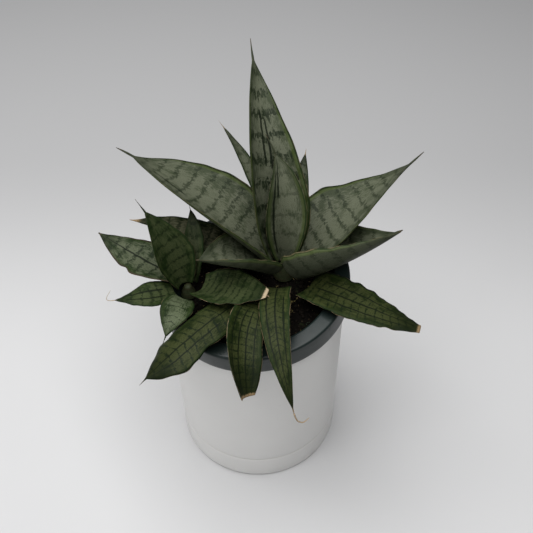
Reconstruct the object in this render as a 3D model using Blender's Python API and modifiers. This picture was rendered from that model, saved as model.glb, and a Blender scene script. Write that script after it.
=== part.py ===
"""Potted snake plant: a bird's-nest rosette and its pup in a nursery pot, hung askew in a ceramic cachepot.

Metres, +Z up. The origin is the centre of the cachepot's underside; -Y is the front.
"""
import math

import bmesh
import bpy
import numpy as np
from mathutils import Matrix, Vector

# Cachepot: a straight slip-cast ceramic cylinder with one scored line above its foot.
CACHEPOT_RADIUS = 0.0510
CACHEPOT_HEIGHT = 0.1265
CACHEPOT_WALL = 0.0035
CACHEPOT_FLOOR = 0.0050
FOOT_ROUNDING = 0.0030
RIM_ROUNDING = 0.0012
GROOVE_HEIGHT = 0.0205
GROOVE_HALF_WIDTH = 0.0008
GROOVE_DEPTH = 0.0005

# Nursery pot: thin green plastic, with a turned-down lip that hooks over the cachepot's rim.
NURSERY_WALL = 0.0012
NURSERY_DEPTH = 0.0950
NURSERY_BASE_RADIUS = 0.0325
LIP_DROP = 0.0130
LIP_ROUNDING = 0.0016
LIP_PLAY = 0.0012
LIP_TILT_RIGHT = math.radians(5.7)
LIP_TILT_BACK = math.radians(6.0)
DRAIN_HOLE_RADIUS = 0.0040
DRAIN_HOLES = 5

# Potting soil, and the clearance that pieces keep where they touch.
SOIL_BELOW_LIP = 0.0090
SOIL_MOUND = 0.0025
TOUCH_GAP = 0.0003

# Crowns: the short stems that carry the leaves, placed from the pot's axis.
MAIN_CROWN_AT = (0.016, 0.004)
MAIN_CROWN_RADIUS = 0.0060
MAIN_CROWN_HEIGHT = 0.0085
PUP_CROWN_AT = (-0.038, -0.003)
PUP_CROWN_RADIUS = 0.0045
PUP_CROWN_HEIGHT = 0.0076

# Leaves: blade thickness along the midrib at the base and near the tip, and how finely a blade is lofted.
# The heart leaf stands just inside the tallest one, and the offset's lowest leaf just clears the pot's lip.
BLADE_THICKNESS = 0.0022
TIP_THICKNESS = 0.0010
EDGE_SHARE = 0.30
FOOT_WRAP = math.radians(95)
TALL_LEAF_RING = 0.0066
HEART_GAP = 0.0004
LOW_LEAF_UNDERSIDE = 0.0051
BLADE_STATIONS = 13
BLADE_COLUMNS = 5

POT_SEGMENTS = 48
CROWN_SEGMENTS = 12


def blade(name, crown, azimuth, ring, rise, length, width, lean, sweep=0, roll=(0, 0), cup=25, widest=0.45,
          neck=0.55, spine=0.0, stump=0.0, bend=1.0, shoulder=1.7):
    """One leaf as its grower would note it: angles in degrees, sizes in metres.

    azimuth is its heading round the crown (0 right, 90 back). ring is how far its base sits out from the
    crown's axis, and rise is how far that base is above the soil. lean is how far it tips
    from upright at base and tip, sweep turns its heading along the blade, roll turns its face, and cup is
    half the angle that its cross-section arches through at the tip. widest, neck, shoulder, spine and stump
    shape the outline: where it is broadest, how broad its base is, how full it stays towards the tip, how
    long its bare point is, and how broad a cut or withered end stays.
    """
    return dict(name=name, crown=crown, azimuth=azimuth, ring=ring, rise=rise, length=length, width=width,
                lean=lean, sweep=sweep, roll=roll, cup=cup, widest=widest, neck=neck, spine=spine,
                stump=stump, bend=bend, shoulder=shoulder)


def lip_slope():
    """Steepest rise of the nursery pot's lip plane, from its tilts to the right and to the back."""
    return math.hypot(math.tan(LIP_TILT_RIGHT), math.tan(LIP_TILT_BACK))


def lip_height(x, y):
    """Height of the nursery pot's lip above the point (x, y): it hooks on the rim at its lowest side."""
    middle = CACHEPOT_HEIGHT + TOUCH_GAP + NURSERY_WALL + lip_slope() * CACHEPOT_RADIUS
    return middle + math.tan(LIP_TILT_RIGHT) * x + math.tan(LIP_TILT_BACK) * y


def soil_height(x, y):
    """Height of the soil's crest at the point (x, y)."""
    return lip_height(x, y) - SOIL_BELOW_LIP + SOIL_MOUND


def outline_share(leaf, along):
    """Half width of a blade as a share of its broadest half width, at a place from 0 (base) to 1 (tip)."""
    blade_end = 1.0 - leaf["spine"]
    widest, neck, stump = leaf["widest"], leaf["neck"], leaf["stump"]
    if along <= widest:
        return neck + (1.0 - neck) * math.sin(0.5 * math.pi * along / widest)
    towards_tip = min((along - widest) / (blade_end - widest), 1.0)
    return stump + (1.0 - stump) * (1.0 - towards_tip ** leaf["shoulder"])


def arch_angle(leaf, along):
    """Half the angle a blade arches through: its foot wraps the crown, and it opens out towards the tip."""
    foot = min(0.5 * leaf["width"] * leaf["neck"] / leaf["ring"], FOOT_WRAP)
    return foot + (math.radians(leaf["cup"]) - foot) * along ** 0.7


def blade_frames(leaf, stations):
    """Midrib points of a blade, base to tip, each with its place from 0 to 1, side and face directions."""
    crown_x, crown_y = {"main": MAIN_CROWN_AT, "pup": PUP_CROWN_AT}[leaf["crown"]]
    heading = math.radians(leaf["azimuth"])
    at = np.array([crown_x + leaf["ring"] * math.cos(heading), crown_y + leaf["ring"] * math.sin(heading),
                   soil_height(crown_x, crown_y) + leaf["rise"]])
    frames = []
    steps = 6
    for index in range((stations - 1) * steps + 1):
        along = index / ((stations - 1) * steps)
        azimuth = math.radians(leaf["azimuth"] + leaf["sweep"] * along)
        lean = math.radians(leaf["lean"][0] + (leaf["lean"][1] - leaf["lean"][0]) * along ** leaf["bend"])
        roll = math.radians(leaf["roll"][0] + (leaf["roll"][1] - leaf["roll"][0]) * along)
        tangent = np.array([math.sin(lean) * math.cos(azimuth), math.sin(lean) * math.sin(azimuth),
                            math.cos(lean)])
        face = np.array([-math.cos(lean) * math.cos(azimuth), -math.cos(lean) * math.sin(azimuth),
                         math.sin(lean)])
        side = np.cross(tangent, face)
        rolled_face = math.cos(roll) * face + math.sin(roll) * side
        rolled_side = np.cross(tangent, rolled_face)
        if index % steps == 0:
            frames.append((along, at.copy(), rolled_side, rolled_face))
        at = at + tangent * leaf["length"] / ((stations - 1) * steps)
    return frames


def arched(across, half_width, half_angle):
    """Where a point of an arched cross-section lies, sideways and faceways, for across from -1 to 1."""
    if abs(half_angle) < 0.01:
        return half_width * across, 0.0
    radius = half_width / half_angle
    return radius * math.sin(half_angle * across), radius * (1.0 - math.cos(half_angle * across))


def blade_sections(leaf, stations=BLADE_STATIONS, columns=BLADE_COLUMNS):
    """Closed rings of points round a blade, one for each station: over its face, then back under it."""
    rings = []
    for along, at, side, face in blade_frames(leaf, stations):
        half_width = 0.5 * leaf["width"] * max(outline_share(leaf, along), 0.035)
        half_angle = arch_angle(leaf, along)
        thickness = BLADE_THICKNESS + (TIP_THICKNESS - BLADE_THICKNESS) * along
        thickness = min(thickness, 1.6 * half_width)
        ring = []
        for column in list(range(columns)) + list(range(columns - 2, 0, -1)):
            across = -1.0 + 2.0 * column / (columns - 1)
            above = 1.0 if len(ring) < columns else -1.0
            sideways, faceways = arched(across, half_width, half_angle)
            slope = half_angle * across
            lift = above * 0.5 * thickness * (1.0 - (1.0 - EDGE_SHARE) * across ** 2)
            if abs(across) > 0.999:
                lift = 0.0
            sideways -= lift * math.sin(slope)
            faceways += lift * math.cos(slope)
            ring.append(at + side * sideways + face * faceways)
        rings.append(ring)
    return rings


# The leaves, youngest first in each rosette. Every outer leaf wraps the one inside it.
LEAVES = [
    blade("leaf_spear", "main", azimuth=72, ring=TALL_LEAF_RING - BLADE_THICKNESS - HEART_GAP,
          rise=0.0095, length=0.075, width=0.030, lean=(-2, 58), sweep=56, roll=(-2, -14), cup=60,
          widest=0.39, neck=0.45, spine=0.16),
    blade("leaf_back_tall", "main", azimuth=110, ring=TALL_LEAF_RING, rise=0.0100, length=0.127, width=0.042,
          lean=(4, 70), sweep=-15, roll=(0, 33), cup=33, widest=0.235, neck=0.53, spine=0.10,
          shoulder=1.4, bend=0.8),
    blade("leaf_right_upper", "main", azimuth=22, ring=0.0097, rise=0.012, length=0.088, width=0.051,
          lean=(57, 52), roll=(8, -38), cup=15, widest=0.31, neck=0.52, spine=0.10, shoulder=1.4),
    blade("leaf_left_upper", "main", azimuth=153, ring=0.0098, rise=0.011, length=0.106, width=0.052,
          lean=(46, 78), roll=(7, 23), cup=16, widest=0.38, neck=0.58, spine=0.10, shoulder=1.9,
          bend=0.7),
    blade("leaf_right_mid", "main", azimuth=-20, ring=0.0128, rise=0.0046, length=0.063, width=0.060,
          lean=(52, 52), sweep=28, roll=(-21, -30), cup=70, widest=0.20, neck=0.80, spine=0.05,
          bend=0.9),
    blade("leaf_left_mid", "main", azimuth=-158, ring=0.0112, rise=0.008, length=0.043, width=0.042,
          lean=(44, 86), sweep=-18, roll=(20, 11), cup=64, widest=0.47, neck=0.72, spine=0.03),
    blade("leaf_back_left", "main", azimuth=100, ring=0.0160, rise=0.0018, length=0.0885, width=0.011,
          lean=(57, 54), sweep=38, roll=(10, -3), cup=24, widest=0.42, neck=0.60, spine=0.04),
    blade("leaf_back_right", "main", azimuth=77, ring=0.0160, rise=0.0030, length=0.0625, width=0.014,
          lean=(47, 56), cup=24, widest=0.42, neck=0.60, spine=0.04),
    blade("leaf_far_left", "main", azimuth=161, ring=0.0136, rise=0.003, length=0.082, width=0.024,
          lean=(62, 95), sweep=4, roll=(4, 10), cup=30, widest=0.43, neck=0.60, spine=0.02),
    blade("leaf_old_right", "main", azimuth=-42, ring=0.0190, rise=0.004, length=0.066, width=0.026,
          lean=(64, 101), sweep=22, roll=(6, -11), cup=-15, widest=0.38, neck=0.90, stump=0.25,
          bend=0.6),
    blade("leaf_old_front_left", "main", azimuth=-134, ring=0.0215, rise=0.001, length=0.084,
          width=0.026, lean=(60, 114), sweep=-6, roll=(-8, 16), cup=-40, widest=0.72, neck=0.44,
          spine=0.05, shoulder=1.9, bend=0.6),
    blade("leaf_old_front_cut", "main", azimuth=-120, ring=0.0215, rise=0.004, length=0.069,
          width=0.022, lean=(65, 136), sweep=42, roll=(7, -45), cup=60, widest=0.73, neck=0.55,
          stump=0.55, shoulder=2.0, bend=1.3),
    blade("leaf_old_front_long", "main", azimuth=-101, ring=0.0178, rise=0.0074, length=0.081,
          width=0.017, lean=(45, 147), sweep=36, roll=(9, 15), cup=28, widest=0.25, neck=0.88,
          spine=0.04, bend=0.7),
    blade("pup_upright", "pup", azimuth=146, ring=0.0042, rise=0.0060, length=0.058, width=0.028,
          lean=(11, 38), sweep=8, roll=(-24, -12), cup=24, widest=0.36, neck=0.50, spine=0.14,
          shoulder=1.3),
    blade("pup_small_dark", "pup", azimuth=60, ring=0.0059, rise=0.005, length=0.046, width=0.012,
          lean=(4, 66), sweep=50, cup=20, widest=0.50, neck=0.50, spine=0.05, bend=1.3),
    blade("pup_far_left", "pup", azimuth=155, ring=0.0080, rise=0.0096, length=0.053, width=0.026,
          lean=(76, 80), sweep=-9, roll=(0, -8), cup=-12, widest=0.44, neck=0.50, shoulder=1.2),
    blade("pup_left_low", "pup", azimuth=-149, ring=0.0092,
          rise=LOW_LEAF_UNDERSIDE + 0.5 * BLADE_THICKNESS, length=0.033, width=0.0190, lean=(64, 96),
          sweep=-26, roll=(-14, 20), cup=-16, widest=0.44, neck=0.58, shoulder=1.5, bend=0.8),
    blade("pup_lower_left", "pup", azimuth=-100, ring=0.0110, rise=0.006, length=0.034, width=0.0185,
          lean=(52, 128), sweep=-14, roll=(-14, 6), cup=22, widest=0.36, neck=0.68, spine=0.16,
          shoulder=1.5, bend=0.8),
    blade("pup_right", "pup", azimuth=-31, ring=0.0095, rise=0.0079, length=0.043, width=0.0295,
          lean=(62, 78), sweep=12, cup=10, widest=0.40, neck=0.70, stump=0.20),
]


def arc(centre_x, centre_z, radius, start, end, count=4):
    """Points of a round corner in a turned profile, for angles in degrees."""
    return [(centre_x + radius * math.cos(math.radians(start + (end - start) * step / count)),
             centre_z + radius * math.sin(math.radians(start + (end - start) * step / count)))
            for step in range(count + 1)]


def clear_scene():
    for thing in list(bpy.data.objects):
        bpy.data.objects.remove(thing, do_unlink=True)


def material(name, colour, roughness, metallic=0.0):
    finish = bpy.data.materials.new(name)
    finish.use_nodes = True
    shader = finish.node_tree.nodes["Principled BSDF"]
    shader.inputs["Base Color"].default_value = (*colour, 1.0)
    shader.inputs["Roughness"].default_value = roughness
    shader.inputs["Metallic"].default_value = metallic
    return finish


def add_object(name, mesh, finish, collection):
    thing = bpy.data.objects.new(name, mesh)
    collection.objects.link(thing)
    mesh.materials.append(finish)
    return thing


def turned(name, profile, finish, collection, segments=POT_SEGMENTS):
    """A turned solid: its profile runs from the axis, up, over and down the outside, back to the axis."""
    mesh = bpy.data.meshes.new(name)
    points = [(x, 0.0, z) for x, z in profile]
    mesh.from_pydata(points, [(index, index + 1) for index in range(len(points) - 1)], [])
    thing = add_object(name, mesh, finish, collection)
    screw = thing.modifiers.new("turn", "SCREW")
    screw.axis = "Z"
    screw.angle = math.tau
    screw.steps = segments
    screw.render_steps = segments
    screw.use_merge_vertices = True
    screw.merge_threshold = 0.00001
    screw.use_smooth_shade = True
    return thing


def make_cachepot(collection):
    """Ceramic outer pot: straight wall, rounded rim and foot, one scored line."""
    inner = CACHEPOT_RADIUS - CACHEPOT_WALL
    outer, height, foot = CACHEPOT_RADIUS, CACHEPOT_HEIGHT, FOOT_ROUNDING
    profile = [(0.0, CACHEPOT_FLOOR)]
    profile += arc(inner - foot, CACHEPOT_FLOOR + foot, foot, -90, 0)
    profile += arc(inner + RIM_ROUNDING, height - RIM_ROUNDING, RIM_ROUNDING, 180, 90, 3)
    profile += arc(outer - RIM_ROUNDING, height - RIM_ROUNDING, RIM_ROUNDING, 90, 0, 3)
    profile += [(outer, GROOVE_HEIGHT + GROOVE_HALF_WIDTH), (outer - GROOVE_DEPTH, GROOVE_HEIGHT),
                (outer, GROOVE_HEIGHT - GROOVE_HALF_WIDTH)]
    profile += arc(outer - foot, foot, foot, 0, -90)
    profile += [(0.0, 0.0)]
    return turned("cachepot", profile, material("white_ceramic", (0.80, 0.80, 0.78), 0.45), collection)


def nursery_placing():
    """Where the nursery pot's frame sits: origin in the lip plane, -Z down its axis, tipped on the rim."""
    normal = Vector((-math.tan(LIP_TILT_RIGHT), -math.tan(LIP_TILT_BACK), 1.0)).normalized()
    low_side = Vector((normal.x, normal.y, 0.0)).normalized()
    at = low_side * LIP_PLAY
    at.z = lip_height(at.x, at.y)
    return Matrix.Translation(at) @ Vector((0, 0, 1)).rotation_difference(normal).to_matrix().to_4x4()


def skirt_inner_radius():
    """Inside radius of the lip's skirt: its foot swings in by the tilt, so it is that much wider."""
    tilt = math.atan(lip_slope())
    return (CACHEPOT_RADIUS + TOUCH_GAP + LIP_DROP * math.sin(tilt) - LIP_PLAY) / math.cos(tilt)


def nursery_inner_radius():
    """Inside radius of the nursery pot at its neck, so that the neck clears the cachepot's inner wall."""
    return CACHEPOT_RADIUS - CACHEPOT_WALL - LIP_PLAY - 2 * TOUCH_GAP - NURSERY_WALL


def make_nursery_pot(collection, cutters):
    """Thin plastic pot: tapered body, rounded lip turned down outside the rim, drain holes below."""
    skirt_in = skirt_inner_radius()
    skirt_out = skirt_in + NURSERY_WALL
    neck_in = nursery_inner_radius()
    neck_out = neck_in + NURSERY_WALL
    under = -NURSERY_WALL
    base_in = NURSERY_BASE_RADIUS - NURSERY_WALL
    profile = [(0.0, -NURSERY_DEPTH + NURSERY_WALL), (base_in, -NURSERY_DEPTH + NURSERY_WALL)]
    profile += arc(neck_in + LIP_ROUNDING, -LIP_ROUNDING, LIP_ROUNDING, 180, 90, 3)
    profile += arc(skirt_out - LIP_ROUNDING, -LIP_ROUNDING, LIP_ROUNDING, 90, 0, 3)
    profile += [(skirt_out, -LIP_DROP), (skirt_in, -LIP_DROP), (skirt_in, under), (neck_out, under)]
    profile += [(NURSERY_BASE_RADIUS, -NURSERY_DEPTH), (0.0, -NURSERY_DEPTH)]
    pot = turned("nursery_pot", profile, material("green_plastic", (0.045, 0.085, 0.070), 0.40), collection)
    pot.matrix_world = nursery_placing()
    for index in range(DRAIN_HOLES):
        turn = math.tau * index / DRAIN_HOLES
        reach = 0.62 * NURSERY_BASE_RADIUS
        bpy.ops.mesh.primitive_cylinder_add(vertices=16, radius=DRAIN_HOLE_RADIUS, depth=6 * NURSERY_WALL)
        cutter = bpy.context.object
        cutter.name = f"drain_cutter_{index + 1}"
        for home in list(cutter.users_collection):
            home.objects.unlink(cutter)
        cutters.objects.link(cutter)
        cutter.matrix_world = nursery_placing() @ Matrix.Translation(
            (reach * math.cos(turn), reach * math.sin(turn), -NURSERY_DEPTH))
        cutter.hide_render = True
        cutter.display_type = "WIRE"
        cut = pot.modifiers.new(f"drain_{index + 1}", "BOOLEAN")
        cut.operation = "DIFFERENCE"
        cut.solver = "EXACT"
        cut.object = cutter
    return pot


def make_soil(collection):
    """Potting mix: fills the nursery pot and crests in the middle."""
    top = -SOIL_BELOW_LIP
    bottom = -NURSERY_DEPTH + NURSERY_WALL + TOUCH_GAP
    neck = nursery_inner_radius() - TOUCH_GAP
    base = NURSERY_BASE_RADIUS - NURSERY_WALL - TOUCH_GAP
    edge = neck + (base - neck) * (SOIL_BELOW_LIP - LIP_ROUNDING) / (NURSERY_DEPTH - LIP_ROUNDING)
    crest = [(edge * share, top + SOIL_MOUND * (1.0 - share ** 2)) for share in (0.0, 0.35, 0.6, 0.8)]
    profile = crest + [(edge - TOUCH_GAP, top), (base - 2 * TOUCH_GAP, bottom), (0.0, bottom)]
    soil = turned("potting_soil", profile, material("dark_peat", (0.018, 0.015, 0.012), 0.95), collection)
    soil.matrix_world = nursery_placing()
    return soil


def make_crown(name, at, radius, height, collection):
    """Short fleshy stem that the leaves sit round, resting on the soil's crest."""
    fall = SOIL_MOUND * (math.hypot(*at) / nursery_inner_radius()) ** 2
    foot = soil_height(*at) - fall + TOUCH_GAP + lip_slope() * radius
    profile = [(0.0, height), (0.35 * radius, height - 0.0006), (0.62 * radius, 0.6 * height),
               (radius, 0.15 * height), (radius, 0.0), (0.0, 0.0)]
    flesh = material(f"{name}_flesh", (0.42, 0.45, 0.30), 0.60)
    crown = turned(name, profile, flesh, collection, CROWN_SEGMENTS)
    crown.location = (at[0], at[1], foot)
    return crown


def make_leaf(leaf, collection):
    """Loft a blade through its sections and close it at the foot and the tip."""
    rings = blade_sections(leaf)
    sheet = bmesh.new()
    loops = [[sheet.verts.new(point) for point in ring] for ring in rings]
    for lower, upper in zip(loops, loops[1:]):
        for index in range(len(lower)):
            after = (index + 1) % len(lower)
            sheet.faces.new((lower[index], lower[after], upper[after], upper[index]))
    sheet.faces.new(loops[0][::-1])
    sheet.faces.new(loops[-1])
    bmesh.ops.triangulate(sheet, faces=sheet.faces[:])
    bmesh.ops.recalc_face_normals(sheet, faces=sheet.faces[:])
    mesh = bpy.data.meshes.new(leaf["name"])
    sheet.to_mesh(mesh)
    sheet.free()
    mesh.shade_smooth()
    skin = material(f"{leaf['name']}_skin", (0.23, 0.27, 0.19), 0.55)
    return add_object(leaf["name"], mesh, skin, collection)


def build():
    clear_scene()
    plant = bpy.data.collections.new("potted_snake_plant")
    cutters = bpy.data.collections.new("cutters")
    bpy.context.scene.collection.children.link(plant)
    bpy.context.scene.collection.children.link(cutters)
    make_cachepot(plant)
    make_nursery_pot(plant, cutters)
    make_soil(plant)
    make_crown("main_crown", MAIN_CROWN_AT, MAIN_CROWN_RADIUS, MAIN_CROWN_HEIGHT, plant)
    make_crown("pup_crown", PUP_CROWN_AT, PUP_CROWN_RADIUS, PUP_CROWN_HEIGHT, plant)
    for leaf in LEAVES:
        make_leaf(leaf, plant)
    bpy.context.view_layer.update()


build()
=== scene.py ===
"""Looks of the potted snake plant: its two pots, peat, crowns and leaves, and the floor, light and camera."""
import math

import bmesh
import bpy
import numpy as np
from mathutils import Matrix, Vector, noise


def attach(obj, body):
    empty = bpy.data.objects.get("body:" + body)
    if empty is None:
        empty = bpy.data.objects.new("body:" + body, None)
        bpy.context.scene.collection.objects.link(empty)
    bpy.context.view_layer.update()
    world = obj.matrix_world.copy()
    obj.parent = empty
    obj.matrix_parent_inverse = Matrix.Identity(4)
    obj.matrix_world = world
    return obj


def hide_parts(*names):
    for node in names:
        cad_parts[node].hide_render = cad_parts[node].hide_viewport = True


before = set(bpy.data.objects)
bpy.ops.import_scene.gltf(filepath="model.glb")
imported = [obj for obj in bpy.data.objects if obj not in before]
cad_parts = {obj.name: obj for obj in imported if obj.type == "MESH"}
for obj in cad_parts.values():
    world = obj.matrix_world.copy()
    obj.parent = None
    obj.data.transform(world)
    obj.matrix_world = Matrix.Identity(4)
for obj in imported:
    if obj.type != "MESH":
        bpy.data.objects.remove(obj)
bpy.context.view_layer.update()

# ----------------------------------------------------------------------------------------------------
# Cachepot: a straight cylinder of white earthenware, slip-cast, with one line scored near the foot while the
# clay was leather-hard. It is dipped in a thin satin glaze with fine pits. The glaze is painted darker along
# the scored line, as painted shade in the groove.
POT_RADIUS = 0.0510
POT_HEIGHT = 0.1265
POT_WALL = 0.0035
POT_FLOOR = 0.0050
FOOT_ROUND = 0.0030
RIM_ROUND = 0.0012
GROOVE_AT = 0.0205
GROOVE_HALF = 0.0008
GROOVE_DEEP = 0.0005


class Wire:
    """A value inside a finish. A sum written with it adds the Math nodes that work it out."""

    def __init__(self, finish, socket):
        self.finish = finish
        self.socket = socket

    def maths(self, operation, *values):
        return self.finish.node("ShaderNodeMath", {"operation": operation}, dict(enumerate(values)))

    def __add__(self, other):
        return self.maths("ADD", self, other)

    def __radd__(self, other):
        return self.maths("ADD", other, self)

    def __sub__(self, other):
        return self.maths("SUBTRACT", self, other)

    def __rsub__(self, other):
        return self.maths("SUBTRACT", other, self)

    def __mul__(self, other):
        return self.maths("MULTIPLY", self, other)

    def __rmul__(self, other):
        return self.maths("MULTIPLY", other, self)

    def __truediv__(self, other):
        return self.maths("DIVIDE", self, other)

    def __rtruediv__(self, other):
        return self.maths("DIVIDE", other, self)

    def __abs__(self):
        return self.maths("ABSOLUTE", self)


class Finish:
    """One procedural material: its nodes, and the few mixtures that every finish here is made from."""

    def __init__(self, name, **uniform):
        self.material = bpy.data.materials.new(name)
        self.material.use_nodes = True
        self.tree = self.material.node_tree
        self.skin = self.tree.nodes["Principled BSDF"]
        for socket, value in uniform.items():
            self.skin.inputs[socket.replace("_", " ")].default_value = value

    def node(self, kind, settings, sockets, output=0):
        made = self.tree.nodes.new(kind)
        for key, value in settings.items():
            setattr(made, key, value)
        for key, value in sockets.items():
            if isinstance(value, Wire):
                self.tree.links.new(value.socket, made.inputs[key])
            else:
                made.inputs[key].default_value = value
        return Wire(self, made.outputs[output])

    def cloud(self, place, scale, detail=3.0, rough=0.55):
        return self.node("ShaderNodeTexNoise", {}, {"Vector": place, "Scale": scale, "Detail": detail,
                                                    "Roughness": rough})

    def rise(self, value, low, high):
        """0 below low and 1 above high, with a soft step between them."""
        return self.node("ShaderNodeMapRange", {"interpolation_type": "SMOOTHSTEP"},
                         {"Value": value, "From Min": low, "From Max": high})

    def tint(self, share, first, second):
        """A colour between first and second."""
        sockets = {0: share}
        for index, colour in ((6, first), (7, second)):
            sockets[index] = colour if isinstance(colour, Wire) else (*colour, 1.0)
        return self.node("ShaderNodeMix", {"data_type": "RGBA"}, sockets, 2)

    def place(self):
        return self.node("ShaderNodeTexCoord", {}, {}, "Object")

    def wear(self, colour=None, roughness=None, relief=None, strength=0.3, depth=0.0003):
        """Joins the varying colour, roughness and relief to the skin."""
        if colour:
            self.tree.links.new(colour.socket, self.skin.inputs["Base Color"])
        if roughness:
            self.tree.links.new(roughness.socket, self.skin.inputs["Roughness"])
        if relief:
            bump = self.node("ShaderNodeBump", {},
                             {"Strength": strength, "Distance": depth, "Height": relief})
            self.tree.links.new(bump.socket, self.skin.inputs["Normal"])
        return self.material


def add_piece(name, mesh, material, slot, *nodes):
    piece = bpy.data.objects.new(name, mesh)
    bpy.context.scene.collection.objects.link(piece)
    mesh.materials.append(material)
    mesh.shade_smooth()
    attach(piece, "root")
    if nodes:
        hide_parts(*nodes)


def round_corner(centre_x, centre_z, radius, start, end, count=6):
    return [(centre_x + radius * math.cos(math.radians(start + (end - start) * step / count)),
             centre_z + radius * math.sin(math.radians(start + (end - start) * step / count)))
            for step in range(count + 1)]


def thrown(name, profile, segments, wobble=0.0, placing=None):
    """A turned mesh. Its profile runs from the axis up, over and down outside; wobble is a slight waver."""
    verts, faces = [], []
    for row, (radius, height) in enumerate(profile):
        for step in range(segments):
            turn = math.tau * step / segments
            spot = Vector((math.cos(turn) * 1.3, math.sin(turn) * 1.3, height * 18))
            reach = radius + (wobble * noise.noise(spot) if radius > 0.001 else 0.0)
            verts.append((reach * math.cos(turn), reach * math.sin(turn), height))
            if row:
                after = (step + 1) % segments
                low, high = (row - 1) * segments, row * segments
                faces.append((low + step, high + step, high + after, low + after))
    mesh = bpy.data.meshes.new(name)
    mesh.from_pydata(verts, [], faces)
    sheet = bmesh.new()
    sheet.from_mesh(mesh)
    bmesh.ops.remove_doubles(sheet, verts=sheet.verts[:], dist=0.00002)
    bmesh.ops.recalc_face_normals(sheet, faces=sheet.faces[:])
    sheet.to_mesh(mesh)
    sheet.free()
    if placing:
        mesh.transform(placing)
    return mesh


def pot_profile():
    inside = POT_RADIUS - POT_WALL
    profile = [(0.0, POT_FLOOR)]
    profile += round_corner(inside - FOOT_ROUND, POT_FLOOR + FOOT_ROUND, FOOT_ROUND, -90, 0)
    profile += [(inside, POT_HEIGHT * share) for share in (0.3, 0.6, 0.85)]
    profile += round_corner(inside + RIM_ROUND, POT_HEIGHT - RIM_ROUND, RIM_ROUND, 180, 90)
    profile += round_corner(POT_RADIUS - RIM_ROUND, POT_HEIGHT - RIM_ROUND, RIM_ROUND, 90, 0)
    profile += [(POT_RADIUS, POT_HEIGHT * share) for share in (0.9, 0.75, 0.6, 0.45, 0.3)]
    for above, sunk in ((1.6, 0.0), (1.0, 0.1), (0.3, 1.0), (-0.3, 1.0), (-1.0, 0.1), (-1.6, 0.0)):
        profile.append((POT_RADIUS - sunk * GROOVE_DEEP, GROOVE_AT + above * GROOVE_HALF))
    profile += round_corner(POT_RADIUS - FOOT_ROUND, FOOT_ROUND, FOOT_ROUND, 0, -90)
    return profile + [(0.0, 0.0)]


def satin_glaze():
    glaze = Finish("satin_white_glaze", Specular_IOR_Level=0.45)
    spot = glaze.place()
    cloud = glaze.cloud(spot, 38.0)
    pits = glaze.rise(glaze.cloud(spot, 900.0, 2.0), 0.66, 0.74)
    height = glaze.node("ShaderNodeSeparateXYZ", {}, {0: spot}, 2)
    # Painted shade: the glaze colour is darkened along the scored groove, where shade falls in it.
    groove_shade = glaze.rise(abs(height - GROOVE_AT), 0.0011, 0.0003)
    colour = glaze.tint(cloud, (0.69, 0.685, 0.67), (0.73, 0.725, 0.71))
    colour = glaze.tint(groove_shade * 0.35, colour, (0.52, 0.50, 0.46))
    colour = glaze.tint(pits * 0.30, colour, (0.60, 0.57, 0.52))
    relief = glaze.cloud(spot, 140.0, 4.0) * 0.5 - pits * 0.4
    return glaze.wear(colour, cloud * 0.16 + 0.36, relief, 0.10, 0.0002)


add_piece("cachepot_body", thrown("cachepot_body", pot_profile(), 192, 0.00006), satin_glaze(), "white_glaze",
          "cachepot")

# ----------------------------------------------------------------------------------------------------
# Nursery pot: dark green polypropylene, thin-walled and moulded in one shot, with a turned-down lip. It sits
# tilted: the lip hooks on the cachepot's rim at the front left and stands clear of it at the back right.
GAP = 0.0003
SHELL = 0.0012
SHELL_DEPTH = 0.0950
SHELL_BASE = 0.0325
LIP_DROP = 0.0130
LIP_ROUND = 0.0016
LIP_PLAY = 0.0012
TILT_RIGHT = math.tan(math.radians(5.7))
TILT_BACK = math.tan(math.radians(6.0))
LIP_SLOPE = math.hypot(TILT_RIGHT, TILT_BACK)


def lip_height(x, y):
    """Height of the lip's plane above the point (x, y)."""
    return POT_HEIGHT + GAP + SHELL + LIP_SLOPE * POT_RADIUS + TILT_RIGHT * x + TILT_BACK * y


def tilted_pot():
    """Placing of everything that tilts with the nursery pot."""
    up = Vector((-TILT_RIGHT, -TILT_BACK, 1.0)).normalized()
    shift = Vector((up.x, up.y, 0.0)).normalized() * LIP_PLAY
    shift.z = lip_height(shift.x, shift.y)
    return Matrix.Translation(shift) @ Vector((0, 0, 1)).rotation_difference(up).to_matrix().to_4x4()


NECK_IN = POT_RADIUS - POT_WALL - LIP_PLAY - 2 * GAP - SHELL
TILT = math.atan(LIP_SLOPE)
SKIRT_IN = (POT_RADIUS + GAP + LIP_DROP * math.sin(TILT) - LIP_PLAY) / math.cos(TILT)


def shell_profile():
    skirt_out = SKIRT_IN + SHELL
    profile = [(0.0, SHELL - SHELL_DEPTH), (SHELL_BASE - SHELL, SHELL - SHELL_DEPTH)]
    for share in (0.3, 0.6, 0.85):
        profile.append((SHELL_BASE - SHELL + (NECK_IN - SHELL_BASE + SHELL) * share,
                        SHELL - SHELL_DEPTH * (1 - share)))
    profile += round_corner(NECK_IN + LIP_ROUND, -LIP_ROUND, LIP_ROUND, 180, 90)
    profile += round_corner(skirt_out - LIP_ROUND, -LIP_ROUND, LIP_ROUND, 90, 0)
    profile += [(skirt_out, -0.4 * LIP_DROP), (skirt_out, -0.8 * LIP_DROP)]
    profile += round_corner(skirt_out - 0.4 * SHELL, 0.4 * SHELL - LIP_DROP, 0.4 * SHELL, 0, -90, 3)
    profile += round_corner(SKIRT_IN + 0.4 * SHELL, 0.4 * SHELL - LIP_DROP, 0.4 * SHELL, -90, -180, 3)
    return profile + [(SKIRT_IN, -SHELL), (NECK_IN + SHELL, -SHELL), (SHELL_BASE, -SHELL_DEPTH),
                      (0.0, -SHELL_DEPTH)]


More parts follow.
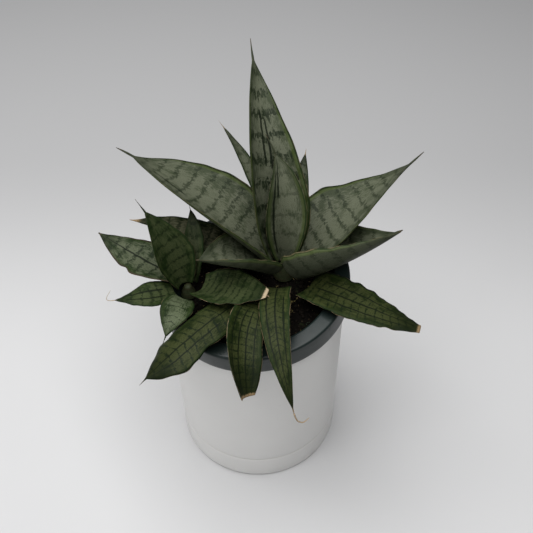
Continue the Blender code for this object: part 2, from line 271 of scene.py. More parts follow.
def moulded_green():
    plastic = Finish("moulded_green_plastic", Specular_IOR_Level=0.32)
    spot = plastic.place()
    flow = plastic.node("ShaderNodeMapping", {}, {"Vector": spot, "Scale": (1.0, 1.0, 6.0)})
    streaks = plastic.cloud(flow, 60.0)
    dust = plastic.rise(plastic.cloud(spot, 260.0, 5.0, 0.7), 0.58, 0.74)
    colour = plastic.tint(streaks, (0.005, 0.011, 0.010), (0.012, 0.021, 0.019))
    colour = plastic.tint(dust * 0.18, colour, (0.10, 0.10, 0.08))
    scuffs = plastic.cloud(spot, 1400.0, 2.0)
    return plastic.wear(colour, streaks * 0.15 + dust * 0.25 + 0.30, scuffs * 0.4 + streaks, 0.12, 0.0002)


add_piece("nursery_shell", thrown("nursery_shell", shell_profile(), 192, 0.0, tilted_pot()), moulded_green(),
          "green_plastic", "nursery_pot")

# ----------------------------------------------------------------------------------------------------
# Potting soil: dark peat with bark crumbs and a little grit, shaken level and settled by watering. The
# crumbs lie loose on top, half sunk in it. Peat and crumbs are coloured near-black, darker than they are, as
# painted shade for the deep shade under the leaves.
SOIL_DOWN = 0.0090
SOIL_CREST = 0.0025
CRUMBS = 1500


def soil_height(x, y):
    """Height of the soil's crest above the point (x, y)."""
    return lip_height(x, y) - SOIL_DOWN + SOIL_CREST


def soil_mesh():
    """The whole plug of soil; its top is crumbly."""
    top, bottom = -SOIL_DOWN, SHELL + GAP - SHELL_DEPTH
    base = SHELL_BASE - SHELL - 3 * GAP
    edge = NECK_IN - GAP + (base - NECK_IN) * SOIL_DOWN / SHELL_DEPTH - GAP
    rings = [(edge * share, top + SOIL_CREST * (1 - share ** 2)) for share in np.linspace(0.0, 1.0, 60)]
    mesh = thrown("soil_plug", rings + [(base, bottom), (0.0, bottom)], 220)
    for vert in mesh.vertices:
        if vert.co.z > top - 0.001 and math.hypot(vert.co.x, vert.co.y) < 0.98 * edge:
            spot = vert.co * 260
            crumb = noise.noise(spot) * 0.5 + noise.noise(spot * 2.7) * 0.35 + noise.noise(spot * 0.25) * 0.8
            vert.co.z += 0.0007 * crumb
    mesh.transform(tilted_pot())
    return mesh, edge


def peat():
    earth = Finish("peat_with_painted_shade", Specular_IOR_Level=0.05)
    spot = earth.place()
    lumps = earth.cloud(spot, 420.0, 6.0, 0.7)
    grit = earth.rise(earth.cloud(spot, 700.0, 1.0), 0.70, 0.74)
    moss = earth.rise(earth.cloud(spot, 120.0, 3.0), 0.62, 0.72)
    # Partly painted shade: the peat's own dark colour is set near-black to stand in for the shade under the
    # leaves.
    colour = earth.tint(lumps, (0.0008, 0.0007, 0.0006), (0.0060, 0.0046, 0.0034))
    colour = earth.tint(moss * 0.35, colour, (0.030, 0.040, 0.014))
    colour = earth.tint(grit * 0.5, colour, (0.14, 0.10, 0.055))
    return earth.wear(colour, lumps * 0.2 + 0.75, lumps, 0.9, 0.0008)


def bark():
    chips = Finish("bark_and_grit", Specular_IOR_Level=0.08)
    spot = chips.place()
    kind = chips.cloud(spot, 190.0, 1.0)
    grain = chips.cloud(spot, 1500.0, 3.0)
    # Partly painted shade: the bark and grit base colours are set near-black for the same shade under the
    # leaves.
    colour = chips.tint(grain, (0.0015, 0.0012, 0.0010), (0.0100, 0.0070, 0.0045))
    colour = chips.tint(chips.rise(kind, 0.66, 0.70) * 0.8, colour, (0.16, 0.13, 0.05))
    colour = chips.tint(chips.rise(kind, 0.30, 0.27) * 0.7, colour, (0.03, 0.05, 0.03))
    return chips.wear(colour, grain * 0.2 + 0.7, grain, 0.5, 0.0002)


def crumb_mesh(edge):
    """Loose crumbs and chips half sunk in the soil, all in one mesh."""
    dice = np.random.default_rng(7)
    heap = bmesh.new()
    for _ in range(CRUMBS):
        reach = (edge - 0.0022) * math.sqrt(dice.random())
        turn = dice.random() * math.tau
        size = 0.00045 + 0.0011 * dice.random() ** 3
        x, y = reach * math.cos(turn), reach * math.sin(turn)
        z = -SOIL_DOWN + SOIL_CREST * (1 - (reach / edge) ** 2) + 0.2 * size
        lump = bmesh.ops.create_icosphere(heap, subdivisions=1, radius=size)["verts"]
        spin = Matrix.Rotation(dice.random() * math.tau, 3, Vector(dice.normal(size=3)).normalized())
        stretch = Vector(0.5 + dice.random(3))
        for vert in lump:
            knobbly = 1.0 + 0.5 * (dice.random() - 0.5)
            vert.co = spin @ Vector(vert.co[axis] * stretch[axis] * knobbly for axis in range(3))
            vert.co += Vector((x, y, z))
    mesh = bpy.data.meshes.new("soil_crumbs")
    heap.to_mesh(mesh)
    heap.free()
    mesh.transform(tilted_pot())
    return mesh


plug, soil_edge = soil_mesh()
add_piece("soil_plug", plug, peat(), "potting_mix", "potting_soil")
add_piece("soil_crumbs", crumb_mesh(soil_edge), bark(), "potting_mix")

# ----------------------------------------------------------------------------------------------------
# Crowns: the short, fleshy stems at soil level that every leaf wraps round. Each tapers upwards, dark green,
# and is ringed by the brown scars of old leaf bases.
CROWNS = {"main": (0.016, 0.004), "pup": (-0.038, -0.003)}
CROWN_SIZES = {"main": (0.0060, 0.0085), "pup": (0.0045, 0.0076)}


def crown_flesh():
    flesh = Finish("pale_crown_flesh", Specular_IOR_Level=0.15)
    spot = flesh.place()
    rings = flesh.node("ShaderNodeMapping", {}, {"Vector": spot, "Scale": (0.3, 0.3, 2.5)})
    scars = flesh.cloud(rings, 420.0, 2.0)
    stain = flesh.cloud(spot, 240.0)
    colour = flesh.tint(stain, (0.012, 0.018, 0.007), (0.040, 0.046, 0.022))
    colour = flesh.tint(flesh.rise(scars, 0.50, 0.60) * 0.6, colour, (0.030, 0.022, 0.012))
    return flesh.wear(colour, stain * 0.2 + 0.45, scars, 0.5, 0.0003)


def crown_mesh(name, at, radius, height):
    fall = SOIL_CREST * (math.hypot(*at) / NECK_IN) ** 2
    foot = soil_height(*at) - fall + GAP + LIP_SLOPE * radius
    profile = [(0.0, 0.0), (radius, 0.0)]
    for step in range(1, 13):
        share = step / 13
        scar = 0.00018 * math.sin(share * 11 * math.pi)
        profile.append((radius * (1 - 0.62 * share ** 1.3) + scar, height * share))
    profile += [(0.2 * radius, 0.99 * height), (0.0, height)]
    return thrown(name, profile, 48, 0.0004, Matrix.Translation((at[0], at[1], foot)))


for crown, (radius, height) in CROWN_SIZES.items():
    stem = f"{crown}_crown_stem"
    add_piece(stem, crown_mesh(stem, CROWNS[crown], radius, height), crown_flesh(), "crown_flesh",
              f"{crown}_crown")

# ----------------------------------------------------------------------------------------------------
# Young leaves of the main rosette: thick, stiff, hollow-faced blades with a horny point. A silver bloom
# covers the face, crossed by ragged dark bands that step from vein to vein. The margin stays plain dark
# green, with a fresher green strip inside it towards the base.
FOOT_WRAP = math.radians(95)
BASE_THICK = 0.0022
TIP_THICK = 0.0010
EDGE_THIN = 0.30
STATIONS = 72
COLUMNS = 19
NARROWEST = 0.035
POINT_NARROWS = 0.027
LINE_FADE = 0.03
BAND_INK = (0.006, 0.012, 0.004)
LINE_INK = (0.004, 0.007, 0.003)
DRIED_EDGE = (0.30, 0.22, 0.13)


def outline(leaf, along):
    """Half width as a share of the widest, from 0 (base) to 1 (tip)."""
    if along <= leaf["widest"]:
        return leaf["neck"] + (1.0 - leaf["neck"]) * math.sin(0.5 * math.pi * along / leaf["widest"])
    towards_tip = min((along - leaf["widest"]) / (1.0 - leaf["spine"] - leaf["widest"]), 1.0)
    return leaf["stump"] + (1.0 - leaf["stump"]) * (1.0 - towards_tip ** leaf["shoulder"])


def midrib(leaf):
    """Points along the midrib with side and face directions."""
    crown_x, crown_y = CROWNS[leaf["crown"]]
    heading = math.radians(leaf["azimuth"])
    at = np.array([crown_x + leaf["ring"] * math.cos(heading), crown_y + leaf["ring"] * math.sin(heading),
                   soil_height(crown_x, crown_y) + leaf["rise"]])
    path = []
    steps = (STATIONS - 1) * 2
    for index in range(steps + 1):
        along = index / steps
        azimuth = math.radians(leaf["azimuth"] + leaf["sweep"] * along)
        lean = math.radians(leaf["lean"][0] + (leaf["lean"][1] - leaf["lean"][0]) * along ** leaf["bend"])
        roll = math.radians(leaf["roll"][0] + (leaf["roll"][1] - leaf["roll"][0]) * along)
        tangent = np.array([math.sin(lean) * math.cos(azimuth), math.sin(lean) * math.sin(azimuth),
                            math.cos(lean)])
        face = np.array([-math.cos(lean) * math.cos(azimuth), -math.cos(lean) * math.sin(azimuth),
                         math.sin(lean)])
        side = np.cross(tangent, face)
        face, side = (math.cos(roll) * face + math.sin(roll) * side,
                      math.cos(roll) * side - math.sin(roll) * face)
        if index % 2 == 0:
            path.append((along, at.copy(), side, face, tangent))
        at = at + tangent * leaf["length"] / steps
    return path


def blade_mesh(name, leaf):
    """Skin of one leaf, with ragged, ruffled margins, bites out of them, and a sunk midrib.

    Its UV map runs from 0 to 1 across the face and on to 2 across the underside, and from 0 to 1 along.
    """
    foot = min(0.5 * leaf["width"] * leaf["neck"] / leaf["ring"], FOOT_WRAP)
    verts, faces, spots = [], [], []
    around = 2 * (COLUMNS - 1)
    for row, (along, at, side, face, tangent) in enumerate(midrib(leaf)):
        horn = max(0.0, along - 1.0 + leaf["spine"]) / max(leaf["spine"], 0.01)
        half = 0.5 * leaf["width"] * max(outline(leaf, along), NARROWEST - POINT_NARROWS * horn)
        arch = foot + (math.radians(leaf["cup"]) - foot) * along ** 0.7
        thick = min(BASE_THICK + (TIP_THICK - BASE_THICK) * along, 1.6 * half)
        for column in range(around):
            under = column >= COLUMNS
            across = 2.0 * column / (COLUMNS - 1) - 1.0 if not under else 3.0 - 2.0 * column / (COLUMNS - 1)
            edge = abs(across) ** 3
            ragged = noise.noise(Vector((along * 9.0, 4.0 * np.sign(across), leaf["seed"])))
            ruffle = noise.noise(Vector((along * leaf["ripples"], 7.0 * np.sign(across), leaf["seed"] + 3.0)))
            reach = across * (1.0 + 0.05 * ragged * edge)
            for bite_at, bite_side, bite_long, bite_deep in leaf["bites"]:
                if across * bite_side > 0:
                    reach *= 1.0 - bite_deep * edge * math.exp(-((along - bite_at) / bite_long) ** 2)
            angle = arch * reach
            if abs(arch) < 0.01:
                sideways, faceways = half * reach, 0.0
            else:
                sideways, faceways = half / arch * math.sin(angle), half / arch * (1.0 - math.cos(angle))
            lift = (-0.5 if under else 0.5) * thick * (1.0 - (1.0 - EDGE_THIN) * across ** 2)
            if column in (0, COLUMNS - 1):
                lift = 0.0
            faceways += leaf["wave"] * ruffle * edge * min(1.0, 4.0 * along)
            faceways -= 0.10 * half * math.exp(-(across / 0.22) ** 2) * leaf["keel"] * (1.0 - along)
            verts.append(at + side * (sideways - lift * math.sin(angle))
                         + face * (faceways + lift * math.cos(angle)))
            if row:
                after = (column + 1) % around
                low, high = (row - 1) * around, row * around
                faces.append((low + column, low + after, high + after, high + column))
                left, right = column / (COLUMNS - 1), (column + 1) / (COLUMNS - 1)
                below = (row - 1) / (STATIONS - 1)
                spots.append(((left, below), (right, below), (right, along), (left, along)))
    last = (STATIONS - 1) * around
    faces += [tuple(range(around))[::-1], tuple(range(last, last + around))]
    spots += [((0.5, 0.0),) * around, ((0.5, 1.0),) * around]
    mesh = bpy.data.meshes.new(name)
    mesh.from_pydata(verts, [], faces)
    chart = mesh.uv_layers.new(name="blade").data
    for polygon, corners in zip(mesh.polygons, spots):
        for loop, spot in zip(polygon.loop_indices, corners):
            chart[loop].uv = spot
    sheet = bmesh.new()
    sheet.from_mesh(mesh)
    bmesh.ops.recalc_face_normals(sheet, faces=sheet.faces[:])
    sheet.to_mesh(mesh)
    sheet.free()
    return mesh


def leaf_skin(name, leaf):
    """Waxy leaf skin: bloom, vein-stepped bands, long dark lines, margin, dried edge and withered tip."""
    skin = Finish(name, Specular_IOR_Level=0.08)
    chart = skin.node("ShaderNodeUVMap", {"uv_map": "blade"}, {})
    around = skin.node("ShaderNodeSeparateXYZ", {}, {0: chart})
    along = skin.node("ShaderNodeSeparateXYZ", {}, {0: chart}, 1)
    turn = abs(around - 1.0)
    across = 1.0 - 2.0 * turn
    under = skin.rise(around, 1.0, 1.02)
    off = abs(across)
    wide, long = leaf["width"] * 500.0, leaf["length"] * 1000.0
    side_mm, long_mm = across * wide, along * long
    grid = skin.node("ShaderNodeCombineXYZ", {}, {0: side_mm, 1: long_mm, 2: leaf["seed"] * 5.3})
    drawn = skin.node("ShaderNodeMapping", {}, {"Vector": grid, "Scale": (1.0, 0.22, 1.0)})
    patch = skin.cloud(grid, 0.13, 2.0)
    fine = skin.cloud(drawn, 1.5, 4.0, 0.65)
    speck = skin.cloud(grid, 3.2, 2.0, 0.6)
    vein = skin.node("ShaderNodeMath", {"operation": "FLOOR"}, {0: side_mm * 0.85 + patch * 4.0})
    chance = skin.node("ShaderNodeTexWhiteNoise", {"noise_dimensions": "2D"},
                       {"Vector": skin.node("ShaderNodeCombineXYZ", {}, {0: vein, 1: leaf["seed"]})})
    warp = skin.cloud(grid, 0.20, 2.0)
    count = long_mm / leaf["gap"] + chance * 0.09 + warp * 0.55 - off * leaf["chevron"]
    apart = skin.node("ShaderNodeMath", {"operation": "PINGPONG"}, {0: count, 1: 0.5})
    girth = skin.cloud(grid, 0.42, 2.0)
    band = 1.0 - skin.rise(apart / (skin.rise(girth, 0.30, 0.75) * leaf["band"] + 0.02), 0.45, 1.0)
    band = band * skin.rise(skin.cloud(drawn, 0.9, 2.0), 0.30, 0.46) * skin.rise(fine, 0.34, 0.50)
    streak = 0.0
    for line_at, line_from, line_to, line_half in leaf["lines"]:
        sway = abs(across - line_at - (warp - 0.5) * 0.10)
        stroke = skin.rise(sway, line_half * 1.35, line_half * 0.6)
        stroke = stroke * skin.rise(along, line_from - LINE_FADE, line_from)
        streak = stroke * skin.rise(along, line_to + LINE_FADE, line_to) + streak
    bloom = leaf["bloom"]
    dusting = skin.rise(patch * 0.5 + fine * 0.5 + (0.55 - off) * 0.14, 0.40, 0.58)
    face = skin.tint(dusting, leaf["shade"], bloom)
    back = skin.tint(fine, [0.75 * part for part in leaf["shade"]], [0.85 * part for part in bloom])
    colour = skin.tint(under, face, back)
    colour = skin.tint(skin.rise(speck, 0.50, 0.64) * 0.55, colour, [0.55 * part for part in leaf["shade"]])
    colour = skin.tint(skin.rise(speck, 0.45, 0.30) * 0.22, colour, [min(1.0, 1.35 * part) for part in bloom])
    colour = skin.tint(band * leaf["ink"] * (1.0 - under * 0.3), colour, BAND_INK)
    if leaf["lines"]:
        colour = skin.tint(streak * 0.9, colour, LINE_INK)
    rim = leaf["margin"] / wide
    strip = skin.rise(off + (fine - 0.5) * 0.04, 1.0 - 2.6 * rim, 1.0 - 1.7 * rim)
    colour = skin.tint(strip * skin.rise(along, 0.95, 0.45) * leaf["glow"], colour, FRESH_GREEN)
    margin = skin.rise(off + (fine - 0.5) * 0.05, 1.0 - 1.1 * rim, 1.0 - 0.6 * rim)
    colour = skin.tint(margin * 0.9, colour, leaf["rim"])
    dusk = skin.rise(along + (fine - 0.5) * 0.2, 0.68, 0.92)
    colour = skin.tint(dusk * 0.65, colour, [0.5 * part for part in leaf["shade"]])
    lip = skin.rise(off, 0.968, 0.99) * skin.rise(warp, 0.38, 0.60)
    colour = skin.tint(lip * leaf["parched"], colour, DRIED_EDGE)
    tip = skin.rise(along + (fine - 0.5) * 0.05, 1.0 - leaf["dry"], 1.0 - 0.55 * leaf["dry"])
    colour = skin.tint(tip, colour, skin.tint(fine, leaf["husk"], [1.5 * part for part in leaf["husk"]]))
    ribs = skin.node("ShaderNodeMath", {"operation": "SINE"}, {0: side_mm * 5.0})
    relief = fine * 0.8 + ribs * 0.05 - band * 0.15 + speck * 0.35 + tip * fine
    return skin.wear(colour, 0.60 - patch * 0.16 + tip * 0.2 - band * 0.05, relief, 0.28, 0.00035)


SILVER = (0.112, 0.122, 0.082)
SAGE = (0.044, 0.055, 0.030)
RIM_GREEN = (0.012, 0.024, 0.007)
FRESH_GREEN = (0.055, 0.078, 0.018)
HUSK = (0.20, 0.14, 0.075)
HORN = (0.045, 0.038, 0.022)


USUAL_LEAF = dict(sweep=0, roll=(0, 0), cup=25, widest=0.45, neck=0.55, spine=0.0, stump=0.0, bend=1.0,
                  shoulder=1.7, wave=0.0006, ripples=9.0, keel=0.3, bites=(), bloom=SILVER, shade=SAGE,
                  rim=RIM_GREEN, glow=0.6, gap=7.5, band=0.34, ink=0.8, chevron=0.2, margin=1.3, lines=(),
                  dry=0.05, husk=HORN, parched=0.35)


def grow_leaf(name, crown, **traits):
    """Makes one leaf and gives back its midrib, for what hangs from its tip.

    azimuth is its heading round the crown, ring and rise place its base, lean is how far it tips from
    upright at base and tip, bend is how soon it gets there, sweep turns its heading and roll its face. cup is
    half the angle its hollow spans, widest, neck, shoulder, spine and stump draw its outline, and wave,
    ripples, keel and bites are its ruffles, midrib and damage. bloom, shade, rim and glow colour it. gap (in
    millimetres), band, ink and chevron draw its bands, lines its long dark lines, margin (in millimetres) its
    rim, and dry, husk and parched its withered tip and edge. seed varies its markings and ruffles.
    """
    leaf = USUAL_LEAF | traits | {"crown": crown}
    add_piece(f"{name}_blade", blade_mesh(f"{name}_blade", leaf), leaf_skin(f"{name}_skin", leaf),
              "snake_plant_leaf", name)
    return midrib(leaf)


grow_leaf("leaf_spear", "main", azimuth=72, ring=0.0040, rise=0.0095, length=0.075, width=0.030,
          lean=(-2, 58), sweep=56, roll=(-2, -14), cup=60, widest=0.39, neck=0.45, spine=0.16, seed=1,
          ink=0.45, band=0.20, gap=11.0, margin=2.2,
          lines=((-0.35, 0.55, 0.86, 0.05), (-0.55, 0.10, 0.70, 0.05)))
grow_leaf("leaf_back_tall", "main", azimuth=110, ring=0.0066, rise=0.0100, length=0.127, width=0.042,
          lean=(4, 70), sweep=-15, roll=(0, 33), cup=33, widest=0.235, neck=0.53, spine=0.10, bend=0.8,
          shoulder=1.4, seed=2, gap=12.0, band=0.50, ink=0.9, margin=1.6,
          lines=((-0.10, 0.45, 0.64, 0.045), (0.12, 0.42, 0.60, 0.045)))
grow_leaf("leaf_right_upper", "main", azimuth=22, ring=0.0097, rise=0.012, length=0.088, width=0.051,
          lean=(57, 52), roll=(8, -38), cup=15, widest=0.31, neck=0.52, spine=0.10, shoulder=1.4, seed=3,
          gap=8.0, ink=0.7)
grow_leaf("leaf_left_upper", "main", azimuth=153, ring=0.0098, rise=0.011, length=0.106, width=0.052,
          lean=(46, 78), roll=(7, 23), cup=16, widest=0.38, neck=0.58, spine=0.10, bend=0.7, shoulder=1.9,
          seed=4, gap=9.0, ink=0.7, lines=((-0.35, 0.55, 0.72, 0.03),))
grow_leaf("leaf_right_mid", "main", azimuth=-20, ring=0.0128, rise=0.0046, length=0.063, width=0.060,
          lean=(52, 52), sweep=28, roll=(-21, -30), cup=70, widest=0.20, neck=0.80, spine=0.05, bend=0.9,
          seed=5, gap=8.0, ink=0.7)
grow_leaf("leaf_left_mid", "main", azimuth=-158, ring=0.0112, rise=0.008, length=0.043, width=0.042,
          lean=(44, 86), sweep=-18, roll=(20, 11), cup=64, widest=0.47, neck=0.72, spine=0.03, seed=6,
          gap=7.0, ink=0.6)

# ----------------------------------------------------------------------------------------------------
# Old outer leaves of the main rosette: thinner and greener, hanging over the pots' rims. Long dark lines
# with fine chevrons between them show in the bloom, the margins have dried tan, and some tips withered or
# were cut.
OLIVE = (0.038, 0.046, 0.015)
MOSS = (0.008, 0.015, 0.003)
OLD_SKIN = dict(glow=0.15, shade=MOSS)
VEINED = dict(OLD_SKIN, bloom=OLIVE, ink=0.95)

grow_leaf("leaf_back_left", "main", azimuth=100, ring=0.0160, rise=0.0018, length=0.0885, width=0.011,
          lean=(57, 54), sweep=38, roll=(10, -3), cup=24, widest=0.42, neck=0.60, spine=0.04, seed=7,
          glow=0.15, dry=0.08, husk=HUSK, gap=6.0, ink=0.5)
grow_leaf("leaf_back_right", "main", **OLD_SKIN, azimuth=77, ring=0.0160, rise=0.0030, length=0.0625,
          width=0.014, lean=(47, 56), cup=24, widest=0.42, neck=0.60, spine=0.04, seed=8, dry=0.08,
          husk=HUSK, gap=6.0)
grow_leaf("leaf_far_left", "main", **OLD_SKIN, azimuth=161, ring=0.0136, rise=0.003, length=0.082,
          width=0.024, lean=(62, 95), sweep=4, roll=(4, 10), cup=30, widest=0.43, neck=0.60, spine=0.02,
          seed=9, dry=0.10, husk=HUSK, bloom=(0.10, 0.10, 0.06), gap=6.0)
grow_leaf("leaf_old_right", "main", **VEINED, azimuth=-42, ring=0.0190, rise=0.004, length=0.066,
          width=0.026, lean=(64, 101), sweep=22, roll=(6, -11), cup=-15, widest=0.38, neck=0.90, stump=0.25,
          bend=0.6, seed=10, gap=4.2, chevron=0.9, band=0.24, parched=0.8, wave=0.0012, ripples=14.0,
          lines=((-0.45, 0.15, 0.95, 0.035), (0.0, 0.10, 0.95, 0.04), (0.45, 0.15, 0.90, 0.035)), dry=0.03,
          husk=HUSK)
grow_leaf("leaf_old_front_left", "main", **VEINED, azimuth=-134, ring=0.0215, rise=0.001, length=0.084,
          width=0.026, lean=(60, 114), sweep=-6, roll=(-8, 16), cup=-40, widest=0.72, neck=0.44, spine=0.05,
          bend=0.6, shoulder=1.9, seed=11, gap=5.0, chevron=0.8, band=0.26, parched=0.9, wave=0.0012,
          ripples=14.0, lines=((0.0, 0.2, 0.95, 0.035), (-0.4, 0.4, 0.9, 0.03)),
          bites=((0.55, -1, 0.05, 0.15),))
grow_leaf("leaf_old_front_cut", "main", **VEINED, azimuth=-120, ring=0.0215, rise=0.004, length=0.069,
          width=0.022, lean=(65, 136), sweep=42, roll=(7, -45), cup=60, widest=0.73, neck=0.55, stump=0.55,
          bend=1.3, shoulder=2.0, seed=12, gap=3.6, chevron=0.5, band=0.20, parched=0.9, wave=0.0008,
          lines=((-0.6, 0.3, 0.97, 0.03), (-0.2, 0.3, 0.97, 0.04), (0.2, 0.3, 0.97, 0.04),
                 (0.6, 0.3, 0.97, 0.03)),
          dry=0.025, husk=HUSK)
old_long = grow_leaf("leaf_old_front_long", "main", **VEINED, azimuth=-101, ring=0.0178, rise=0.0074,
                     length=0.081, width=0.017, lean=(45, 147), sweep=36, roll=(9, 15), cup=28, widest=0.25,
                     neck=0.88, spine=0.04, bend=0.7, seed=13, gap=3.2, chevron=1.4, band=0.20, parched=0.9,
                     lines=((0.0, 0.05, 0.93, 0.06), (-0.55, 0.2, 0.8, 0.05), (0.55, 0.2, 0.8, 0.05)),
                     dry=0.07, husk=HUSK)

# ----------------------------------------------------------------------------------------------------
# The offset's leaves: a small rosette on its own crown at the left, greener than the parent, with ragged
# bands. Its lowest leaves lie on the nursery pot's lip, and one leaf has dried at its end.
LEAF_GREEN = (0.050, 0.064, 0.026)
DEEP_GREEN = (0.012, 0.024, 0.006)
PUP_SKIN = dict(glow=0.15, shade=DEEP_GREEN)
FRESH = dict(PUP_SKIN, bloom=LEAF_GREEN)

grow_leaf("pup_upright", "pup", **FRESH, azimuth=146, ring=0.0042, rise=0.0060, length=0.058, width=0.028,
          lean=(11, 38), sweep=8, roll=(-24, -12), cup=24, widest=0.36, neck=0.50, spine=0.14, shoulder=1.3,
          seed=14, gap=6.0, band=0.26, margin=1.8)
grow_leaf("pup_small_dark", "pup", azimuth=60, ring=0.0059, rise=0.005, length=0.046, width=0.012,
          lean=(4, 66), sweep=50, cup=20, widest=0.50, neck=0.50, spine=0.05, bend=1.3, seed=15, glow=0.15,
          bloom=(0.05, 0.06, 0.03), shade=(0.02, 0.03, 0.012))
grow_leaf("pup_far_left", "pup", **PUP_SKIN, azimuth=155, ring=0.0080, rise=0.0096, length=0.053,
          width=0.026, lean=(76, 80), sweep=-9, roll=(0, -8), cup=-12, widest=0.44, neck=0.50, shoulder=1.2,
          seed=16, bloom=(0.090, 0.105, 0.062), gap=7.0, rim=(0.045, 0.035, 0.022),
          lines=((0.0, 0.05, 0.9, 0.05),), bites=((0.48, -1, 0.05, 0.16),), parched=0.6)
low_left = grow_leaf("pup_left_low", "pup", **FRESH, azimuth=-149, ring=0.0092, rise=0.0062, length=0.033,
                     width=0.0190, lean=(64, 96), sweep=-26, roll=(-14, 20), cup=-16, widest=0.44,
                     neck=0.58, bend=0.8, shoulder=1.5, seed=17, gap=5.0,
                     lines=((0.25, 0.2, 0.95, 0.07), (-0.35, 0.2, 0.8, 0.05)))
grow_leaf("pup_lower_left", "pup", **PUP_SKIN, azimuth=-100, ring=0.0110, rise=0.006, length=0.034,
          width=0.0185, lean=(52, 128), sweep=-14, roll=(-14, 6), cup=22, widest=0.36, neck=0.68,
          spine=0.16, bend=0.8, shoulder=1.5, seed=18, bloom=(0.095, 0.115, 0.065), gap=3.5, band=0.14,
          chevron=0.8)
dried = grow_leaf("pup_right", "pup", **FRESH, azimuth=-31, ring=0.0095, rise=0.0079, length=0.043,
                  width=0.0295, lean=(62, 78), sweep=12, cup=10, widest=0.40, neck=0.70, stump=0.20,
                  seed=19, gap=4.0, dry=0.055, husk=(0.34, 0.27, 0.18), wave=0.0012, parched=0.8)

# ----------------------------------------------------------------------------------------------------
# Dried ends: the hair-thin threads and the curled tail that three leaf tips shrank to as they withered.
# Each is straw-coloured, twisted and thinner towards its end.
THREAD_SIDES = 7
THREAD_STEPS = 8
THREAD_ROOT = 0.0015


def straw():
    dead = Finish("dried_straw", Specular_IOR_Level=0.3)
    spot = dead.place()
    fibre = dead.cloud(spot, 900.0, 3.0)
    colour = dead.tint(fibre, (0.22, 0.15, 0.08), (0.46, 0.36, 0.24))
    return dead.wear(colour, fibre * 0.2 + 0.6, fibre, 0.5, 0.0002)


def thread_mesh(name, tip, offsets, thick):
    """A tapering twisted thread from a leaf's tip; offsets are (outward, sideways, up) from there."""
    along, at, side, face, tangent = tip
    out = Vector((tangent[0], tangent[1], 0.0)).normalized()
    left = Vector((-out.y, out.x, 0.0))
    knots = [Vector(at - tangent * THREAD_ROOT)]
    knots += [Vector(at) + out * a + left * b + Vector((0, 0, c)) for a, b, c in offsets]
    points = []
    for index in range(len(knots) - 1):
        before, after = knots[max(index - 1, 0)], knots[min(index + 2, len(knots) - 1)]
        for step in range(THREAD_STEPS):
            t = step / THREAD_STEPS
            start, end = knots[index], knots[index + 1]
            points.append(0.5 * (2 * start + (end - before) * t
                                 + (2 * before - 5 * start + 4 * end - after) * t ** 2
                                 + (3 * start - before - 3 * end + after) * t ** 3))
    points.append(knots[-1])
    verts, faces = [], []
    for row, point in enumerate(points):
        share = row / (len(points) - 1)
        ahead = (points[min(row + 1, len(points) - 1)] - points[max(row - 1, 0)]).normalized()
        first = ahead.cross(Vector((0.3, 0.2, 1.0))).normalized()
        second = ahead.cross(first)
        radius = thick * (1.0 - 0.75 * share)
        for step in range(THREAD_SIDES):
            turn = math.tau * step / THREAD_SIDES + 2.0 * share
            verts.append(point + (first * math.cos(turn) + second * math.sin(turn) * 0.6) * radius)
            if row:
                after = (step + 1) % THREAD_SIDES
                low, high = (row - 1) * THREAD_SIDES, row * THREAD_SIDES
                faces.append((low + step, low + after, high + after, high + step))
    faces += [tuple(range(THREAD_SIDES))[::-1], tuple(range(len(verts) - THREAD_SIDES, len(verts)))]
    mesh = bpy.data.meshes.new(name)
    mesh.from_pydata(verts, [], faces)
    return mesh


def add_thread(name, tip, offsets, thick):
    add_piece(name, thread_mesh(name, tip, offsets, thick), straw(), "snake_plant_leaf")


add_thread("old_leaf_tail", old_long[-1],
           ((0.001, 0.001, -0.003), (0.002, 0.004, -0.005), (0.002, 0.007, -0.003)), 0.0007)
add_thread("low_leaf_hair", low_left[-1],
           ((0.003, 0.0, 0.0), (0.0045, -0.001, 0.001), (0.002, -0.004, 0.004)), 0.0003)
add_thread("dried_tip_thread", dried[-1], ((0.001, 0.0, -0.002), (0.001, 0.001, -0.006)), 0.0005)

# ----------------------------------------------------------------------------------------------------
# Floor: one wide sheet of matt off-white board that the pot stands on. Its colour is painted a little greyer
# towards its far side, as painted shade where the light falls off, and it lies a hair below the pot's foot.
FLOOR_REACH = 4.0
FLOOR_DOWN = 0.00005


def board_mesh():
    corners = ((-1, -1), (1, -1), (1, 1), (-1, 1))
    mesh = bpy.data.meshes.new("board_sheet")
    spread = [(FLOOR_REACH * x, FLOOR_REACH * y, -FLOOR_DOWN) for x, y in corners]
    mesh.from_pydata(spread, [], [(0, 1, 2, 3)])
    return mesh


def matt_board():
    board = Finish("matt_board", Roughness=0.9, Specular_IOR_Level=0.1)
    spot = board.place()
    back = board.node("ShaderNodeSeparateXYZ", {}, {0: spot}, 1)
    pale = board.tint(board.cloud(spot, 6.0, 2.0), (0.60, 0.60, 0.605), (0.62, 0.62, 0.625))
    # Painted shade: the board is coloured greyer towards its far side, standing in for light falling off away
    # from the soft box.
    return board.wear(board.tint(board.rise(back, 0.04, 0.30), pale, (0.46, 0.46, 0.465)))


floor = bpy.data.objects.new("board_sheet", board_mesh())
bpy.context.scene.collection.objects.link(floor)
floor.data.materials.append(matt_board())

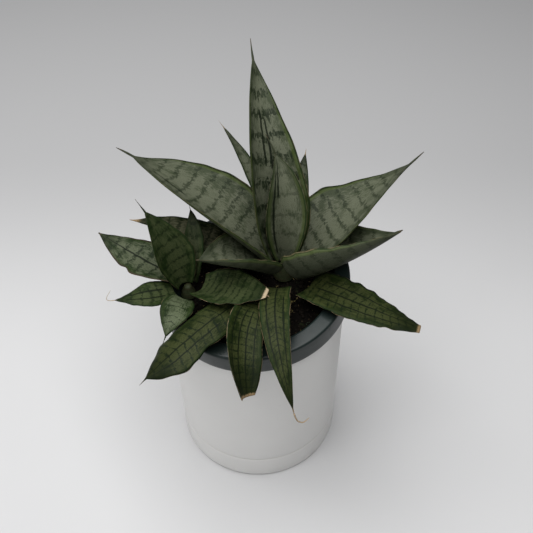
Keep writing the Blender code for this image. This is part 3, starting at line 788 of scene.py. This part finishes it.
# ----------------------------------------------------------------------------------------------------
# Studio light: one broad soft box overhead, a weak one from the left, and dim, even, white surroundings
# that fill the shadows.
ROOM_GLOW = 0.12
world = bpy.data.worlds.new("pale_room")
bpy.context.scene.world = world
world.use_nodes = True
world.node_tree.nodes["Background"].inputs["Color"].default_value = (1.0, 1.0, 1.0, 1.0)
world.node_tree.nodes["Background"].inputs["Strength"].default_value = ROOM_GLOW


def soft_box(name, at, aim, size, power):
    light = bpy.data.lights.new(name, "AREA")
    light.shape = "RECTANGLE"
    light.size, light.size_y = size
    light.energy = power
    lamp = bpy.data.objects.new(name, light)
    lamp.location = at
    lamp.rotation_mode = "QUATERNION"
    lamp.rotation_quaternion = (Vector(aim) - Vector(at)).to_track_quat("-Z", "Y")
    bpy.context.scene.collection.objects.link(lamp)


soft_box("key_box", (-0.09, -0.06, 1.1), (0.0, 0.0, 0.0), (1.4, 0.9), 16.8)
soft_box("fill_box", (-0.8, -0.5, 0.5), (0.0, 0.0, 0.08), (0.5, 0.5), 2.2)

# ----------------------------------------------------------------------------------------------------
# Camera: looks down at the rosettes from the front at about 46 degrees, close in. It is held very slightly
# off level.
PITCH = math.radians(45.9)
ROLL = math.radians(-0.67)
CAMERA_AIM = (0.0063, 0.0, 0.1426)
CAMERA_AWAY = 0.3881
FOCAL_PER_FRAME = 700.0 / 533.0
lens = bpy.data.cameras.new("front_camera")
lens.sensor_width = 36.0
lens.lens = lens.sensor_width * FOCAL_PER_FRAME
lens.clip_start, lens.clip_end = 0.01, 20.0
camera = bpy.data.objects.new("front_camera", lens)
bpy.context.scene.collection.objects.link(camera)
back = Vector((0.0, -math.cos(PITCH), math.sin(PITCH)))
level, up = Vector((1.0, 0.0, 0.0)), Vector((0.0, math.sin(PITCH), math.cos(PITCH)))
right = level * math.cos(ROLL) + up * math.sin(ROLL)
over = up * math.cos(ROLL) - level * math.sin(ROLL)
turned = Matrix((right, over, back)).transposed().to_4x4()
camera.matrix_world = Matrix.Translation(Vector(CAMERA_AIM) + back * CAMERA_AWAY) @ turned
bpy.context.scene.camera = camera
bpy.context.scene.view_settings.view_transform = "Standard"
